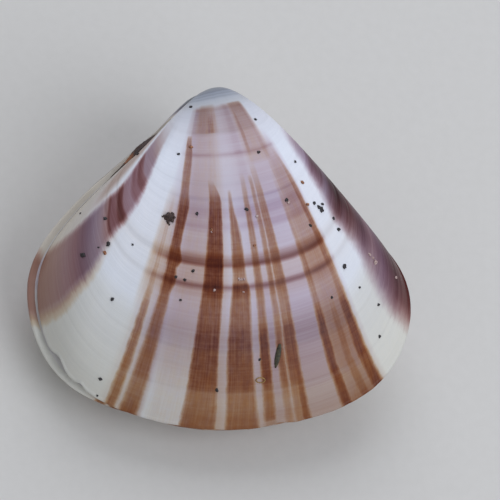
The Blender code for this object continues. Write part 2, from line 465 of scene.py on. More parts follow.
# Pigment in a full ray by growth, as (rust, plum, lavender).
RAY_TONE = [
    (0.15, 0.5, 0.8, 0.0), (0.3, 0.45, 0.8, 0.0), (0.42, 0.58, 0.75, 0.15),
    (0.49, 0.74, 0.95, 0.08), (0.563, 0.83, 0.74, 0.05), (0.575, 1.3, 0.66, 0.0),
    (0.597, 1.5, 0.84, 0.0), (0.607, 1.0, 0.62, 0.0), (0.634, 0.98, 0.66, 0.0),
    (0.646, 1.4, 0.96, 0.0), (0.66, 1.16, 0.56, 0.0), (0.68, 0.86, 0.52, 0.0),
    (0.735, 0.74, 0.7, 0.0), (0.76, 0.7, 0.98, 0.0), (0.798, 0.72, 1.02, 0.0),
    (0.808, 0.9, 0.68, 0.0), (0.895, 0.92, 0.5, 0.0), (0.91, 0.84, 0.32, 0.05),
    (0.95, 0.9, 0.28, 0.12), (1.0, 1.0, 0.4, 0.08),
]
# Pigment of the wash between the rays.
WASH_TONE = [
    (0.17, 0.05, 0.12, 0.05), (0.185, 0.22, 0.35, 0.15), (0.195, 0.12, 0.27, 0.27),
    (0.262, 0.12, 0.27, 0.2), (0.272, 0.04, 0.32, 0.03), (0.318, 0.04, 0.32, 0.02),
    (0.325, 0.1, 0.5, 0.1), (0.334, 0.05, 0.26, 0.02), (0.43, 0.02, 0.3, 0.08),
    (0.437, 0.0, 0.36, 0.2), (0.445, 0.0, 0.28, 0.18), (0.467, 0.0, 0.42, 0.2),
    (0.49, 0.0, 0.32, 0.12), (0.505, 0.0, 0.42, 0.15), (0.52, 0.0, 0.22, 0.12),
    (0.568, 0.0, 0.26, 0.08), (0.582, 0.14, 0.5, 0.08), (0.594, 0.3, 0.92, 0.08),
    (0.604, 0.06, 0.24, 0.0), (0.638, 0.06, 0.3, 0.0), (0.649, 0.2, 0.88, 0.05),
    (0.659, 0.06, 0.36, 0.0), (0.69, 0.0, 0.32, 0.05), (0.74, 0.03, 0.38, 0.2),
    (0.77, 0.04, 0.44, 0.34), (0.798, 0.04, 0.44, 0.34), (0.81, 0.04, 0.42, 0.16),
    (0.85, 0.06, 0.42, 0.08), (0.915, 0.1, 0.3, 0.15), (0.925, 0.12, 0.18, 0.18),
    (0.97, 0.16, 0.2, 0.22), (1.0, 0.2, 0.2, 0.2),
]
# Strength of the wash round the valve.
WASH_ACROSS = [
    (0.355, 0.0), (0.368, 0.6), (0.383, 1.3), (0.4, 1.2), (0.41, 1.0), (0.443, 1.0), (0.462, 0.85),
    (0.472, 1.0), (0.49, 0.8), (0.5, 0.7), (0.525, 0.6), (0.534, 0.6), (0.567, 0.9),
    (0.608, 1.0), (0.624, 0.45), (0.64, 0.16), (0.65, 0.0), (0.69, 0.0), (1.0, 0.0),
]
# Behind the belly the wash fades as the valve grows: the span across, and what is lost by growth.
WASH_FADE_SPAN = (0.566, 0.607)
WASH_FADE = [
    (0.6, 0.0), (0.68, 0.15), (0.74, 0.25), (0.78, 0.42), (0.85, 0.65), (0.92, 0.85), (1.0, 1.0),
]
WASH_FADE_SOFTNESS = 0.01
# Pigment of the front and hind purple zones.
FRONT_TONE = [
    (0.3, 0.12, 0.25, 0.45), (0.36, 0.14, 0.4, 0.55), (0.43, 0.04, 0.24, 0.48),
    (0.46, 0.16, 0.52, 0.72), (0.5, 0.18, 0.48, 0.74), (0.53, 0.14, 0.12, 1.06),
    (0.555, 0.25, 0.38, 1.16), (0.6, 0.38, 0.78, 0.94), (0.615, 0.26, 0.44, 0.92),
    (0.645, 0.3, 0.74, 0.6), (0.665, 0.26, 0.42, 0.68), (0.72, 0.18, 0.52, 0.78),
    (0.77, 0.07, 0.48, 0.26), (0.83, 0.02, 0.66, 0.44), (0.88, 0.1, 0.86, 0.4),
    (0.91, 0.17, 1.1, 0.3), (0.95, 0.22, 1.0, 0.05), (1.0, 0.28, 1.0, 0.0),
]
HIND_TONE = [
    (0.31, 0.14, 0.18, 0.15), (0.36, 0.2, 0.28, 0.22), (0.39, 0.12, 0.36, 0.32),
    (0.44, 0.1, 0.36, 0.35), (0.455, 0.25, 0.85, 0.05), (0.475, 0.3, 1.05, 0.05),
    (0.49, 0.15, 0.7, 0.1), (0.51, 0.2, 0.9, 0.05), (0.53, 0.1, 0.52, 0.2),
    (0.568, 0.15, 0.6, 0.2), (0.58, 0.4, 1.1, 0.1), (0.6, 0.5, 1.2, 0.1),
    (0.612, 0.25, 0.85, 0.1), (0.645, 0.22, 0.9, 0.05), (0.655, 0.4, 1.05, 0.1),
    (0.668, 0.22, 0.5, 0.1), (0.7, 0.14, 0.3, 0.44), (0.74, 0.12, 0.24, 0.7),
    (0.78, 0.1, 0.48, 0.7), (0.81, 0.1, 0.68, 0.42), (0.85, 0.12, 0.7, 0.05),
    (0.9, 0.1, 0.58, 0.0), (0.95, 0.16, 0.48, 0.0), (1.0, 0.24, 0.46, 0.0),
]

# Rays: left and right edge across the valve, softness of the edges, and strength by growth. An edge
# that wanders is keyed by growth.
RAYS = [
    # front group
    ([(0.3, 0.386), (0.35, 0.372), (0.4, 0.365), (0.45, 0.3635), (1.0, 0.3645)],
     [(0.3, 0.396), (0.35, 0.382), (0.4, 0.376), (0.45, 0.376), (1.0, 0.377)], 0.0075,
     [(0.3, 0.0), (0.36, 0.22), (0.42, 0.48), (0.5, 0.62), (0.6, 0.62), (0.66, 0.52), (0.72, 0.62),
      (0.79, 1.06), (0.88, 1.06), (0.93, 1.02), (1.0, 1.14)]),
    (0.369, 0.4075, 0.008,
     [(0.31, 0.0), (0.36, 0.12), (0.43, 0.28), (0.55, 0.32), (0.62, 0.34), (0.7, 0.28),
      (0.78, 0.36), (0.88, 0.3), (0.93, 0.22), (1.0, 0.5)]),
    (0.383, 0.393, 0.006,
     [(0.7, 0.0), (0.75, 0.45), (0.8, 0.66), (0.93, 0.62), (1.0, 0.88)]),
    (0.4035, 0.4132, 0.006,
     [(0.38, 0.0), (0.44, 0.2), (0.5, 0.32), (0.56, 0.36), (0.62, 0.56), (0.68, 0.5), (0.74, 0.8),
      (0.79, 1.1), (0.88, 1.12), (0.93, 1.08), (1.0, 1.06)]),
    # middle group
    (0.4452, 0.4595, 0.0055,
     [(0.34, 0.0), (0.4, 0.3), (0.46, 0.5), (0.6, 0.55), (0.72, 0.55), (0.78, 0.92),
      (0.88, 0.8), (0.93, 0.48), (1.0, 0.42)]),
    (0.4455, 0.4525, 0.0045,
     [(0.45, 0.0), (0.5, 0.5), (0.7, 0.62), (0.8, 0.98), (0.9, 0.88), (1.0, 0.82)]),
    (0.461, 0.469, 0.0055,
     [(0.38, 0.0), (0.42, 0.45), (0.6, 0.48), (0.72, 0.52), (0.8, 0.8), (0.88, 0.72), (0.94, 0.38),
      (1.0, 0.36)]),
    (0.4785, 0.4888, 0.005,
     [(0.37, 0.0), (0.42, 0.32), (0.5, 0.5), (0.54, 0.42), (0.62, 0.52), (0.72, 0.58), (0.8, 1.08),
      (0.87, 1.02), (0.93, 0.62), (0.983, 0.66), (0.99, 0.0)]),
    # belly group
    ([(0.42, 0.514), (0.45, 0.512), (0.5, 0.506), (0.55, 0.503), (0.62, 0.501), (0.66, 0.498),
      (0.8, 0.4985), (0.95, 0.496), (1.0, 0.4945)],
     [(0.42, 0.52), (0.45, 0.52), (0.5, 0.52), (0.62, 0.52), (0.7, 0.5242), (0.8, 0.5272),
      (1.0, 0.5248)], 0.006,
     [(0.41, 0.0), (0.45, 0.5), (0.5, 0.55), (0.6, 0.6), (0.615, 0.52), (0.635, 0.45),
      (0.645, 0.8), (0.7, 0.72), (0.8, 0.84), (0.9, 0.78), (0.915, 0.6), (1.0, 0.7)]),
    ([(0.38, 0.554), (0.4, 0.547), (0.44, 0.536), (0.6, 0.535), (0.8, 0.538), (1.0, 0.535)],
     [(0.38, 0.567), (0.44, 0.561), (0.6, 0.5625), (0.75, 0.567), (1.0, 0.569)], 0.006,
     [(0.37, 0.0), (0.42, 0.55), (0.48, 0.85), (0.56, 0.85), (0.6, 1.0), (0.66, 0.95), (0.7, 0.8),
      (0.8, 0.86), (0.9, 0.8), (0.915, 0.6), (1.0, 0.68)]),
    # hind group
    ([(0.28, 0.619), (0.32, 0.61), (0.42, 0.605), (0.46, 0.601), (0.5, 0.603), (0.56, 0.605),
      (0.595, 0.6), (0.62, 0.605), (0.65, 0.603), (0.68, 0.607), (1.0, 0.6095)],
     [(0.28, 0.633), (0.35, 0.628), (0.43, 0.622), (0.6, 0.62), (0.9, 0.624), (1.0, 0.6245)],
     0.0065,
     [(0.27, 0.0), (0.3, 0.72), (0.42, 0.6), (0.48, 0.88), (0.56, 0.8), (0.66, 0.78),
      (0.7, 0.7), (0.8, 0.6), (0.9, 0.62), (0.92, 0.52), (1.0, 0.78)]),
    (0.6295, 0.6385, 0.0055,
     [(0.42, 0.0), (0.5, 0.25), (0.6, 0.28), (0.68, 0.36), (0.76, 0.58), (0.9, 0.6), (1.0, 0.62)]),
    (0.614, 0.648, 0.012, [(0.4, 0.0), (0.5, 0.16), (0.62, 0.2), (0.78, 0.06), (1.0, 0.04)]),
    # beak
    (0.531, 0.605, 0.026, [(0.165, 0.0), (0.18, 0.3), (0.2, 0.4), (0.258, 0.5), (0.264, 0.0)]),
    (0.54, 0.567, 0.016, [(0.185, 0.0), (0.21, 0.5), (0.258, 0.7), (0.264, 0.0)]),
    (0.386, 0.458, 0.026, [(0.172, 0.0), (0.182, 0.42), (0.22, 0.32), (0.33, 0.25), (0.36, 0.0)]),
    (0.44, 0.454, 0.01, [(0.19, 0.0), (0.21, 0.45), (0.27, 0.55), (0.33, 0.3), (0.35, 0.0)]),
    (0.393, 0.411, 0.012, [(0.25, 0.0), (0.29, 0.3), (0.33, 0.35), (0.36, 0.0)]),
]
FRONT_EDGE = [
    (0.3, 0.3), (0.45, 0.307), (0.5, 0.309), (0.58, 0.315), (0.65, 0.309), (0.7, 0.306),
    (0.78, 0.313), (0.85, 0.311), (0.9, 0.308), (0.95, 0.302), (1.0, 0.296),
]
HIND_EDGE = [
    (0.35, 0.715), (0.4, 0.71), (0.5, 0.705), (0.58, 0.712), (0.66, 0.722), (0.75, 0.72),
    (0.85, 0.727), (0.93, 0.733), (1.0, 0.746),
]
HIND_KEEL = [(0.4, 0.782), (0.54, 0.774), (0.66, 0.79), (0.8, 0.8), (0.9, 0.808), (1.0, 0.82)]
FRONT_RED = [(0.72, 0.0), (0.77, 0.3), (0.86, 0.24), (0.92, 0.1), (0.96, 0.0)]
HINGE_SIDE = [(0.3, 0.8), (0.5, 2.4), (0.62, 2.4), (0.7, 1.7), (0.8, 0.7), (1.0, 0.6)]
DRIFT = [
    (0.45, 0.5), (0.6, 0.6), (0.7, 0.7), (0.78, 0.95), (0.85, 1.0), (0.9, 0.83), (0.95, 0.5),
    (1.0, 0.0),
]
DRIFT_REACH = 0.008    # how far the front rays drift sideways as the valve grows
DRIFT_SPAN = (0.56, 0.37)   # where the drift starts and where it is full, across the valve
HIND_BEND = 0.035    # growth lines run this much lower behind the hind ray
HIND_BEND_SPAN = (0.725, 0.785)

# Noise on a valve as (cells round the edge, cells over the growth, detail, roughness).
WOBBLE_NOISE = (30.0, 14.0, 3.0, 0.5)
FRAY_NOISE = (260.0, 46.0, 4.0, 0.65)
STREAK_NOISE = (520.0, 7.0, 2.0, 0.6)
BAND_NOISE = (5.0, 150.0, 3.0, 0.65)
MOTTLE_NOISE = (90.0, 60.0, 3.0, 0.6)
HUE_NOISE = (170.0, 22.0, 4.0, 0.62)
RIDGE_NOISE = (12.0, 420.0, 2.0, 0.6)
# How far noise moves the lines, in growth or across.
GROWTH_WOBBLE = 0.006
ACROSS_WOBBLE = 0.0022
FRAY_REACH = 0.0032
RAGGED_BANDS = 0.006
RAGGED_MOTTLE = 0.008
# How noise changes a layer, as (gain, what noise 0 leaves).
RAY_STREAKS = (0.64, 0.68)
RAY_BANDS = (0.44, 0.78)
RAY_MOTTLE = (0.5, 0.75)
WASH_BANDS = (0.8, 0.6)
FRONT_BANDS = (0.9, 0.55)
HIND_BANDS = (0.5, 0.75)
SHADE_BANDS = (0.14, 0.955)
SHADE_MOTTLE = (0.06, 0.97)
GLOSS_MOTTLE = (0.16, 0.24)
RIDGE_SHARES = (0.6, 0.4)   # bands and fine ridges in the relief
RIDGE_DEPTH = 0.00006    # metres
# Soft steps, as (where a layer is 0, where it is full).
RED_SPAN = (0.5, 0.488)
WASH_START = (0.165, 0.19)
BARE_GROWTH = (0.38, 0.26)
BARE_ACROSS = (0.4, 0.376)
FRONT_RISE = (-0.012, 0.022)
FRONT_END = (0.1, 0.16)
FRONT_START = (0.3, 0.46)
# The next span is where painted shade darkens the front zone's far side.
FAR_SIDE_SHADE_SPAN = (0.297, 0.262)
HIND_RISE = (-0.006, 0.012)
KEEL_RISE = (-0.008, 0.01)
HIND_START = (0.22, 0.4)
FRINGE_START = (0.55, 0.9)
HINGE_HIND = (0.785, 0.815)
HINGE_FRONT = (0.13, 0.09)
# The next three steps, with the beak's tint below, paint shade on both sides of the beak.
BEAK_SHADE_FRONT = (0.38, 0.26)
BEAK_SHADE_HIND = (0.66, 0.76)
BEAK_SHADE_START = (0.19, 0.14)
RAY_BLEND = 0.04    # how softly rays that meet run together
# Painted shade: the front zone is this much darker on its far side, which turns away from the light.
FAR_SIDE_SHADE_GAIN = 0.5    # how much stronger the front zone is on its far side
FRINGE = (-0.008, 0.004, 0.008)    # sides of the orange fringe from the hind edge, and softness
# Pigment that a layer adds, as (rust, plum, lavender).
HUE_TINT = (1.0, -1.1, -0.1)
FADE_TINT = (-0.12, 0.03, 0.06)
FRINGE_TINT = (0.16, 0.0, 0.0)
HINGE_TINT = (0.1, 0.01, 0.12)
# The beak's tint is painted shade on its sides.
BEAK_SHADE_TINT = (0.03, 0.0, 0.16)


class ShellPaint(Paint):
    """The painted outside of a valve, laid on in layers of pigment."""

    def __init__(self, name, offset):
        """The offset moves the noise, so that no two valves are alike."""
        super().__init__(name)
        self.offset = offset
        split = self.add("ShaderNodeSeparateXYZ", {0: self.growth_map()})
        self.true_across, self.true_growth = split.outputs[0], split.outputs[1]
        self.bands = self.pattern(BAND_NOISE)
        self.mottle = self.pattern(MOTTLE_NOISE)

        # A slow wobble and a fine fray, so that no line is ruled straight.
        wobble = self.centred(self.pattern(WOBBLE_NOISE))
        self.growth = self.fit(wobble, GROWTH_WOBBLE, self.true_growth)
        bend = self.past(HIND_BEND_SPAN)
        self.hind_growth = self.fit(bend, HIND_BEND, self.growth)
        across = self.fit(wobble, ACROSS_WOBBLE, self.true_across)
        fray = self.centred(self.pattern(FRAY_NOISE))
        across = self.fit(fray, FRAY_REACH, across)
        drift = self.math("SUBTRACT", 1.0, self.by_growth(DRIFT))
        drift = self.product(drift, self.step(across, *DRIFT_SPAN))
        self.across = self.fit(drift, DRIFT_REACH, across)
        self.lay_rays()
        self.lay_wash()
        self.lay_zones()
        self.lay_sides()
        self.show_colour()
        self.show_gloss()

    def pattern(self, cells):
        """Noise drawn out along the edge or along the rays."""
        across_cells, growth_cells, detail, roughness = cells
        place = self.place(self.fit(self.true_across, across_cells, self.offset),
                           self.math("MULTIPLY", self.true_growth, growth_cells))
        return self.noise(place, detail=detail, roughness=roughness)

    def window(self, across, left, right, softness):
        """1 between two edges, with soft sides. An edge is a number, or keys by growth."""
        half = softness / 2.0
        sides = []
        for edge, way in ((left, 1.0), (right, -1.0)):
            if isinstance(edge, list):
                inset = self.math("SUBTRACT", across, self.by_growth(edge))
                sides.append(self.step(inset, -half * way, half * way))
            else:
                sides.append(self.step(across, edge - half * way, edge + half * way))
        return self.product(*sides)

    def by_growth(self, keys):
        return self.keyed(self.growth, keys)

    def past(self, span):
        """A soft step across the valve."""
        return self.step(self.true_across, *span)

    def grown(self, span):
        """A soft step by growth."""
        return self.step(self.growth, *span)

    def lay(self, layer, pigment):
        self.pigment = self.vector("MULTIPLY_ADD", layer, pigment, self.pigment)

    def lay_rays(self):
        ray = 0.0
        for left, right, softness, strength in RAYS:
            mask = self.window(self.across, left, right, softness)
            layer = self.product(mask, self.by_growth(strength))
            ray = self.math("SMOOTH_MAX", layer, ray, RAY_BLEND)
        ray = self.varied(ray, self.pattern(STREAK_NOISE), RAY_STREAKS)
        ray = self.varied(ray, self.bands, RAY_BANDS)
        self.ray = self.varied(ray, self.mottle, RAY_MOTTLE)
        shares = self.place(self.ray, self.product(self.ray, self.ray), self.ray)
        self.pigment = self.vector("MULTIPLY", shares, self.ramp(self.growth, RAY_TONE))

        # Some streaks and bands of a ray are ochre, others are plum. The front rays are redder.
        hue = self.centred(self.pattern(HUE_NOISE))
        redder = self.product(self.past(RED_SPAN), self.by_growth(FRONT_RED))
        hue = self.math("ADD", hue, redder)
        self.lay(self.product(hue, self.ray), HUE_TINT)

    def lay_wash(self):
        """The wash between the rays."""
        wash = self.varied(self.keyed(self.across, WASH_ACROSS), self.bands, WASH_BANDS)
        wash = self.product(wash, self.grown(WASH_START))
        fade = self.window(self.across, *WASH_FADE_SPAN, WASH_FADE_SOFTNESS)
        fade = self.product(fade, self.by_growth(WASH_FADE))
        bare = self.product(self.grown(BARE_GROWTH), self.past(BARE_ACROSS))
        for loss in (fade, bare, self.ray):
            wash = self.product(wash, self.math("SUBTRACT", 1.0, loss))
        self.lay(fade, FADE_TINT)
        self.lay(wash, self.ramp(self.growth, WASH_TONE))

    def lay_zones(self):
        """Purple zones at the front and hind sides, with ragged, banded edges. The front zone darkens
        towards its far side: painted shade.
        """
        ragged = self.fit(self.centred(self.bands), RAGGED_BANDS, self.true_across)
        ragged = self.fit(self.centred(self.mottle), RAGGED_MOTTLE, ragged)
        front = self.math("SUBTRACT", self.by_growth(FRONT_EDGE), ragged)
        front = self.product(self.step(front, *FRONT_RISE), self.past(FRONT_END), self.grown(FRONT_START))
        # Painted shade on the front zone's far side.
        front = self.varied(front, self.past(FAR_SIDE_SHADE_SPAN), (FAR_SIDE_SHADE_GAIN, 1.0))
        self.lay(self.varied(front, self.bands, FRONT_BANDS), self.ramp(self.growth, FRONT_TONE))
        hind = self.math("SUBTRACT", ragged, self.by_growth(HIND_EDGE))
        keel = self.math("SUBTRACT", self.by_growth(HIND_KEEL), ragged)
        hind = self.product(self.step(hind, *HIND_RISE), self.step(keel, *KEEL_RISE), self.grown(HIND_START))
        self.lay(self.varied(hind, self.bands, HIND_BANDS), self.ramp(self.hind_growth, HIND_TONE))

        # Orange fringe on the white side of the hind zone.
        left, right, softness = FRINGE
        fringe = self.window(ragged, [(place, edge + left) for place, edge in HIND_EDGE],
                             [(place, edge + right) for place, edge in HIND_EDGE], softness)
        self.lay(self.product(fringe, self.grown(FRINGE_START)), FRINGE_TINT)

    def lay_sides(self):
        """Cream on the hinge side, behind and in front of the beak, and painted shade on both sides of the
        beak.
        """
        hinge = self.math("MAXIMUM", self.past(HINGE_HIND), self.past(HINGE_FRONT))
        self.lay(self.product(hinge, self.by_growth(HINGE_SIDE)), HINGE_TINT)
        # Painted shade on both sides of the beak.
        beak = self.math("MAXIMUM", self.past(BEAK_SHADE_FRONT), self.past(BEAK_SHADE_HIND))
        self.lay(self.product(beak, self.grown(BEAK_SHADE_START)), BEAK_SHADE_TINT)

    def show_colour(self):
        """What the pigments leave of the white."""
        parts = self.add("ShaderNodeSeparateXYZ", {0: self.pigment}).outputs
        scaled = []
        for part, layer in zip(parts, (RUST, PLUM, LAVENDER)):
            node = self.add("ShaderNodeVectorMath", {0: layer, "Scale": part}, operation="SCALE")
            scaled.append(node.outputs[0])
        absorbed = self.vector("ADD", self.vector("ADD", scaled[0], scaled[1]), scaled[2])
        channels = self.add("ShaderNodeSeparateXYZ", {0: absorbed}).outputs
        left_over = self.place(*[self.math("POWER", 1.0 / math.e, channel) for channel in channels])
        stops = {}
        for before, line, after, left in WHITE_LINES:
            stops.update({before: 1.0, line: left, after: 1.0})
        lines = self.ramp(self.growth, [(place, left, left, left) for place, left in stops.items()])
        white = self.vector("MULTIPLY", self.ramp(self.growth, WHITE), lines)
        shade = self.varied(self.fit(self.bands, *SHADE_BANDS), self.mottle, SHADE_MOTTLE)
        colour = self.vector("MULTIPLY", self.vector("MULTIPLY", white, left_over), shade)
        self.show({"Base Color": colour})

    def show_gloss(self):
        """Porcelain gloss, with fine ridges along the growth lines."""
        self.show({
            "Roughness": self.fit(self.mottle, *GLOSS_MOTTLE), "IOR": 1.5,
            "Specular IOR Level": 0.20, "Coat Weight": 0.05, "Coat Roughness": 0.12,
        })
        band_share, fine_share = RIDGE_SHARES
        fine = self.math("MULTIPLY", self.pattern(RIDGE_NOISE), fine_share)
        self.relief(self.fit(self.bands, band_share, fine), 0.35, RIDGE_DEPTH)


INNER_CELLS = (18.0, 9.0, 1.0)
INNER_WHITE = (214, 210, 206)
INNER_STAIN = (186, 170, 184)
STAIN_SPAN = (0.45, 0.75)


def inner_paint(name):
    """The smooth inside of a valve: white with a faint purple stain."""
    paint = Paint(name)
    cloud = paint.noise(paint.vector("MULTIPLY", paint.growth_map(), INNER_CELLS), detail=3.0)
    tones = [(*linear(tone), 1.0) for tone in (INNER_WHITE, INNER_STAIN)]
    paint.show({
        "Base Color": paint.mix(paint.step(cloud, *STAIN_SPAN), *tones),
        "Roughness": paint.fit(cloud, 0.2, 0.25),
    })
    return paint.material


def add_valve(name, node, chips, phase, paint, mirrored):
    rings, levels, outside = valve_grid(chips, phase)
    if mirrored:
        rings = rings * (1.0, 1.0, -1.0) + LEFT_VALVE_SEEN
    rings = to_frame(rings)
    rings[:, :, 2] = np.maximum(rings[:, :, 2], 0.0)    # the resting flat
    mesh = grid_mesh(name, rings, levels, outside, mirrored)
    piece = add_object(mesh, paint, inner_paint(name + "_inside"))
    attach(piece, "root")
    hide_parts(node)
    return piece


right_paint = ShellPaint("shell_right_paint", 0.0).material
left_paint = ShellPaint("shell_left_paint", 37.0).material
right_shell = add_valve("right_shell", "right_valve", RIGHT_CHIPS, 0.0, right_paint, False)
left_shell = add_valve("left_shell", "left_valve", LEFT_CHIPS, 2.0, left_paint, True)


# Ligament

# The band's thin dark hind tail runs on into the open slit between the valves: partly band, partly a dark
# sheet that paints the slit's shade.
LIGAMENT_SEEN = (0.901, 0.976)    # the real band ends a little before its CAD solid
LIGAMENT_TRACE = 2400
LIGAMENT_STEPS = 150
LIGAMENT_END_STEP = 0.35
LIGAMENT_AROUND = 36
BAND_HEIGHT = 0.58    # how far the band stands out, as a share of its CAD solid's half depth
BAND_LOW_END = 0.42    # how high the band stands at the beak, as a share
BAND_FALL = 0.45    # length over which it sinks to that
BAND_PEAK = 0.44    # where it stands highest along its length
BAND_TIP = 0.30    # how high it stands at the hind tip
BAND_TIP_END = 0.12
FIBRES = 11
FIBRE_HEIGHT = 0.045
FIBRE_WANDER = 5.0
FIBRE_CELLS = (9.0, 0.2)    # along the band and round it
PIT_DEPTH = 0.10
PIT_CELLS = (24.0, 3.0)
HORN_TONES = [(0.30, (28, 16, 13)), (0.55, (62, 36, 26)), (0.75, (104, 66, 46))]
ORANGE_TONES = [(0.30, (96, 52, 28)), (0.70, (166, 104, 62))]
HORN_CELLS = (60.0, 7.0, 1.0)
CLOUD_CELLS = (6.0, 9.0, 1.0)
ORANGE_START = (0.24, 0.30)
ORANGE_END = (0.44, 0.36)
ORANGE_RAGGED = 0.14


def ligament_mesh():
    edge, fractions = closed_spline(EDGE_POINTS, LIGAMENT_TRACE, KNOT_POWER)
    normals = outward_normals(edge)
    rings = []
    levels = []
    for i in range(LIGAMENT_STEPS):
        along = (i + LIGAMENT_END_STEP) / (LIGAMENT_STEPS - 1 + 2.0 * LIGAMENT_END_STEP)
        place = LIGAMENT_SEEN[0] + (LIGAMENT_SEEN[1] - LIGAMENT_SEEN[0]) * along
        k = int(round(place * len(fractions)))
        size = (1.0 - abs(2.0 * along - 1.0) ** LIGAMENT_BLUNTNESS) ** 0.5
        stand = 1.0 - (1.0 - BAND_LOW_END) * smooth_step((along - BAND_PEAK) / BAND_FALL)
        rise = smooth_step((along - BAND_TIP_END) / (BAND_PEAK - BAND_TIP_END))
        stand *= BAND_TIP + (1.0 - BAND_TIP) * rise
        outward = np.array([normals[k][0], normals[k][1], 0.0])
        centre = np.array([edge[k][0] + LEFT_VALVE_SHIFT / 2.0, edge[k][1], 0.0])
        centre = centre - outward * LIGAMENT_INSET
        ring = []
        for side in range(LIGAMENT_AROUND):
            angle = math.tau * side / LIGAMENT_AROUND
            wander = FIBRE_WANDER * noise.noise((along * FIBRE_CELLS[0], side * FIBRE_CELLS[1], 0.0))
            fibre = math.sin(FIBRES * angle + wander)
            pit = noise.noise((
                along * PIT_CELLS[0], math.cos(angle) * PIT_CELLS[1], math.sin(angle) * PIT_CELLS[1]
            ))
            ridge = 1.0 - FIBRE_HEIGHT * (1.0 - fibre) - PIT_DEPTH * abs(pit)
            depth = LIGAMENT_HALF_DEPTH * size * ridge * math.cos(angle)
            depth *= BAND_HEIGHT * stand if depth > 0.0 else 1.0
            width = LIGAMENT_HALF_WIDTH * size * ridge * math.sin(angle)
            ring.append(centre + outward * depth + np.array([0.0, 0.0, width]))
        rings.append(ring)
        levels.append(along)
    return grid_mesh("ligament_band", to_frame(rings), levels, len(rings), False)


def ligament_paint():
    """Dark horny brown in long fibres, orange-brown at the hind tip."""
    paint = Paint("ligament_horn")
    growth_map = paint.growth_map()
    along = paint.add("ShaderNodeSeparateXYZ", {0: growth_map}).outputs[1]
    fibres = paint.noise(paint.vector("MULTIPLY", growth_map, HORN_CELLS), detail=4.0, roughness=0.6)
    cloud = paint.noise(paint.vector("MULTIPLY", growth_map, CLOUD_CELLS))
    end = paint.fit(cloud, ORANGE_RAGGED, along)
    orange = paint.product(paint.step(end, *ORANGE_END), paint.step(end, *ORANGE_START))
    paint.show({
        "Base Color": paint.mix(orange, paint.tones(fibres, HORN_TONES), paint.tones(fibres, ORANGE_TONES)),
        "Roughness": paint.fit(fibres, 0.3, 0.3),
    })
    paint.relief(fibres, 0.6, 0.0001)
    return paint.material


ligament = add_object(ligament_mesh(), ligament_paint())
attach(ligament, "root")
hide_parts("ligament")


# Camera

def view_direction(pixel):
    """Direction in the frame from the camera through a pixel of the photograph."""
    ahead = Vector((
        (pixel[0] - PIVOT_PIXEL[0]) / FOCAL_PIXELS, (PIVOT_PIXEL[1] - pixel[1]) / FOCAL_PIXELS, -1.0
    ))
    return (SPIN @ (VIEW_BACK @ ahead)).normalized()


eye_on_shell = VIEW_PIVOT + VIEW_BACK @ Vector((0.0, 0.0, CAMERA_DISTANCE))
EYE = (SPIN @ eye_on_shell + BEAK_PLACE) * MM
frame_middle = (FRAME_PIXELS - 1.0) / 2.0
back = -view_direction((frame_middle, frame_middle))
level_up = SPIN @ (VIEW_BACK @ Vector((0.0, 1.0, 0.0)))
right = level_up.cross(back).normalized()
up = back.cross(right)
camera_data = bpy.data.cameras.new("photo_camera")
camera_data.sensor_width = SENSOR_WIDTH
camera_data.lens = FOCAL_PIXELS * SENSOR_WIDTH / FRAME_PIXELS
camera_data.clip_start = 0.01
camera_data.clip_end = 5.0
camera = bpy.data.objects.new("photo_camera", camera_data)
scene.collection.objects.link(camera)
turn = Matrix((right, up, back)).transposed()
camera.matrix_world = Matrix.Translation(EYE) @ turn.to_4x4()
scene.camera = camera


# Sand and dirt on the upper valve, and pale specks that are partly painted glints, each grain at its pixel
# in the photograph

PIXEL_MM = 1.0 / PIXELS_PER_MM
# Black grains as (x, y, width in pixels).
BLACK_GRAINS = [
    (190.6, 106.5, 3.2), (255, 119, 2.6), (178, 153.7, 2.8), (258, 151.7, 3.0),
    (294.7, 161.2, 2.6), (104.8, 218, 3.4), (108, 243.5, 4.4), (82.5, 254.6, 4.6),
    (132, 244, 2.2), (112, 298.7, 3.2), (80, 213, 2.2), (98, 247, 1.8),
    (100, 378.5, 3.4), (97, 395, 2.2), (180, 299.5, 2.4), (216.4, 389.8, 3.4),
    (259.2, 359, 2.6), (331.3, 297, 2.6), (344, 266, 4.4), (378, 304, 2.8),
    (379, 336, 3.0), (359, 287, 2.4), (310, 225, 3.0), (313.8, 202.8, 3.2),
    (318.4, 206.6, 4.2), (321, 209.6, 4.6), (322, 203.6, 3.0), (333, 218, 3.0),
    (338, 229, 3.4), (286, 199.6, 3.2), (196.5, 213.4, 3.0), (192.7, 270.5, 3.0),
    (184.4, 279.5, 2.8), (175.5, 276.3, 2.6), (246, 208.7, 3.4), (137.6, 153.6, 3.4),
]
# The clump of dirt at the hind ray: offsets from its middle and widths, in pixels.
CLUMP_PIXEL = (168.6, 216.8)
CLUMP_GRAINS = [
    (0.2, -0.4, 8.6), (-3.8, -1.0, 3.6), (3.0, -2.2, 5.0), (2.8, 2.6, 5.2), (-0.8, 4.4, 3.8),
    (-6.6, -0.8, 1.8), (5.4, 0.4, 2.4), (0.2, 7.2, 1.8),
]
RUSTY_GRAINS = [
    (302, 182, 3.6), (307, 204, 3.2), (254, 245, 2.8), (104.6, 252.4, 3.4),
    (190.4, 146.6, 3.2), (211, 229, 2.6),
]
